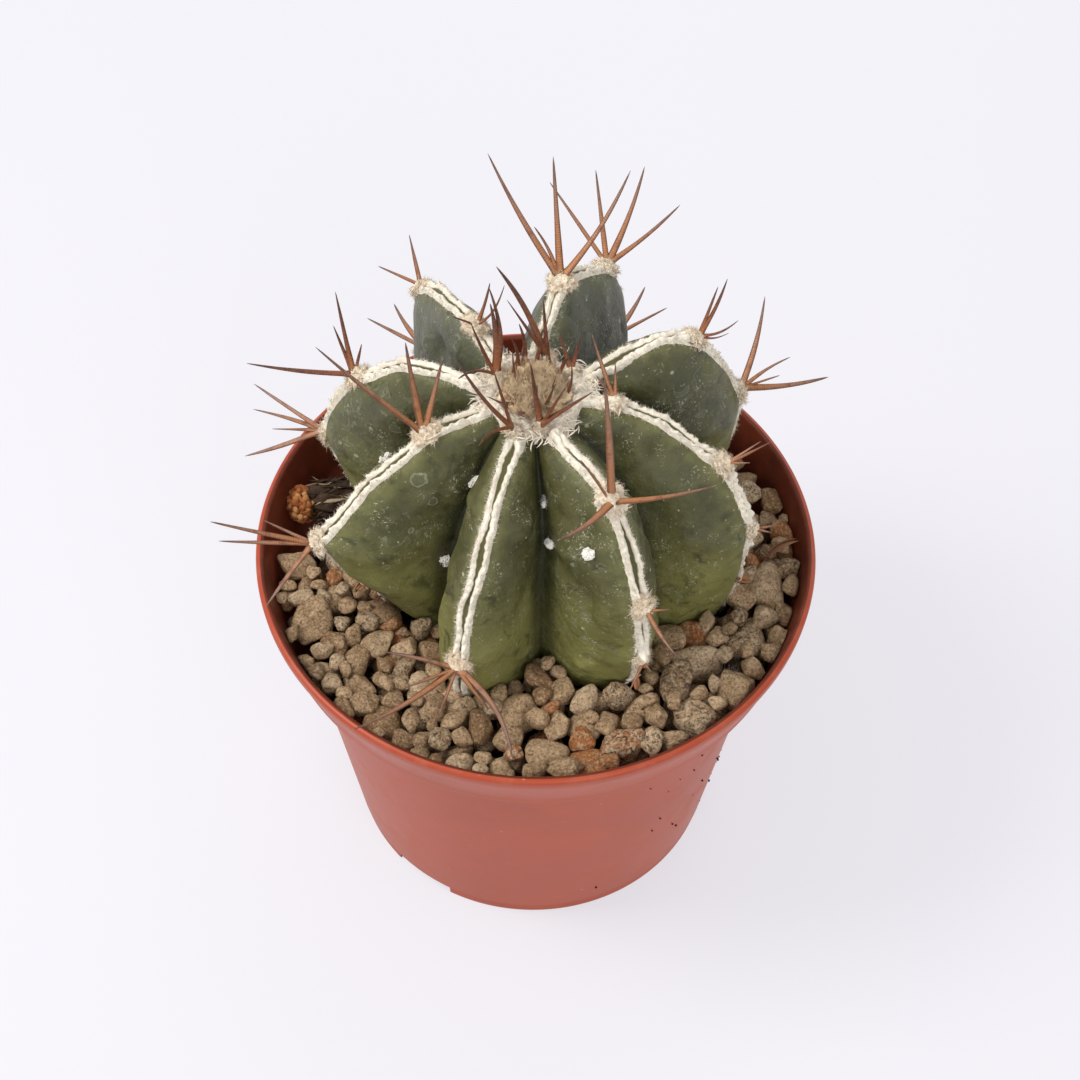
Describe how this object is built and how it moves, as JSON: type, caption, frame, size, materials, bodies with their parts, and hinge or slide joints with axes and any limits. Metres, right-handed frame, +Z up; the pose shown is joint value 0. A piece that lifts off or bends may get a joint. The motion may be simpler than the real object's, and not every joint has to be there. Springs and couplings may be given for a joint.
{
  "type": "potted round cactus",
  "caption": "Round ribbed cactus with woolly crests and long stout brown spines, planted in gravel in a tapered round plastic nursery pot with a collar.",
  "frame": {"origin": "middle of the pot's underside, on the surface it stands on", "axes": "+Z up along the pot's axis, -Y towards the front of the plant, +X to the right seen from the front"},
  "size_m": [0.1122, 0.105, 0.1445],
  "materials": {
    "pot_plastic": "matte moulded plastic with fine scuffs",
    "potting_mix": "rough and damp",
    "gravel": "rough porous stone",
    "cactus_skin": "waxy satin skin",
    "wool": "felted plant wool",
    "spine": "hard horny satin",
    "bark": "rough fibrous bark",
    "dried_flower": "papery and dry"
  },
  "bodies": {
    "root": {"pot": "pot_plastic", "potting_mix": "potting_mix", "gravel_bed": "gravel", "cactus_stem": "cactus_skin", "crown_wool": "wool", "crest_wool_front_left": "wool", "crest_wool_front_right": "wool", "crest_wool_right": "wool", "crest_wool_right_back": "wool", "crest_wool_back": "wool", "crest_wool_back_left": "wool", "crest_wool_left_back": "wool", "crest_wool_left": "wool", "spines_front_left_lower": "spine", "spines_front_right_upper": "spine", "spines_front_right_middle": "spine", "spines_front_right_lower": "spine", "spines_right_upper": "spine", "spines_right_middle": "spine", "spines_right_lower": "spine", "spines_right_back_upper": "spine", "spines_right_back_middle": "spine", "spines_back_upper": "spine", "spines_back_middle": "spine", "spines_back_left_upper": "spine", "spines_back_left_middle": "spine", "spines_left_back_upper": "spine", "spines_left_back_lower": "spine", "spines_left_upper": "spine", "spines_left_nose": "spine", "spines_back_lower": "spine", "spines_back_left_lower": "spine", "spines_crown_front_left": "spine", "spines_crown_front_right": "spine", "spines_crown_left": "spine", "spines_crown_back": "spine", "spines_crown_right": "spine", "bark_chunk": "bark", "dried_flower": "dried_flower", "pebble_01": "gravel", "pebble_02": "gravel", "pebble_03": "gravel", "pebble_04": "gravel", "pebble_05": "gravel", "pebble_06": "gravel", "pebble_07": "gravel", "pebble_08": "gravel", "pebble_09": "gravel", "pebble_10": "gravel", "pebble_11": "gravel", "pebble_12": "gravel", "pebble_13": "gravel", "pebble_14": "gravel", "pebble_15": "gravel", "pebble_16": "gravel"}
  },
  "joints": []
}
